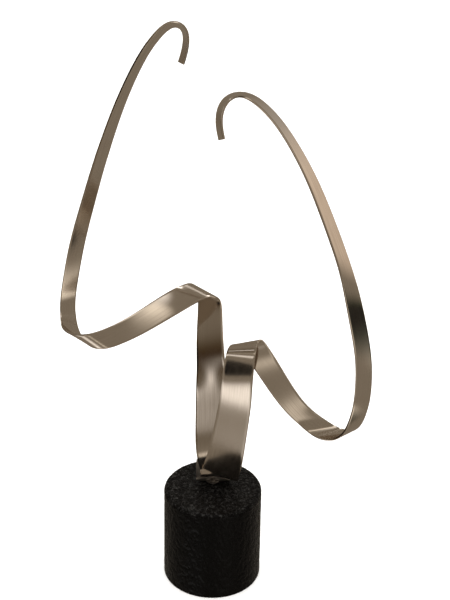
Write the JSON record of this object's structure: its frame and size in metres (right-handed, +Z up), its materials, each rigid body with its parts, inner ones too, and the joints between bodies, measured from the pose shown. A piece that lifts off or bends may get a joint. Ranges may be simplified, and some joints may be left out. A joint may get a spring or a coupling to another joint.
{
  "type": "abstract metal sculpture",
  "caption": "Table sculpture: a long tapering strip of brushed steel folded and bent into two looping arms, on a black cylindrical plinth.",
  "frame": {"origin": "centre of the plinth's flat underside", "axes": "+Z up along the plinth's axis, -Y towards the viewer of the front, +X to that viewer's right"},
  "size_m": [0.3081, 0.1914, 0.5841],
  "materials": {
    "brushed_steel": "stainless steel brushed along its length, warm grey",
    "bracket_steel": "dull plain steel",
    "screw_steel": "plain steel",
    "wrinkle_black": "black wrinkle-finish paint on a turned wooden block"
  },
  "bodies": {
    "root": {"ribbon": "brushed_steel", "mounting_bracket": "bracket_steel", "fixing_screw": "screw_steel", "plinth": "wrinkle_black"}
  },
  "joints": []
}
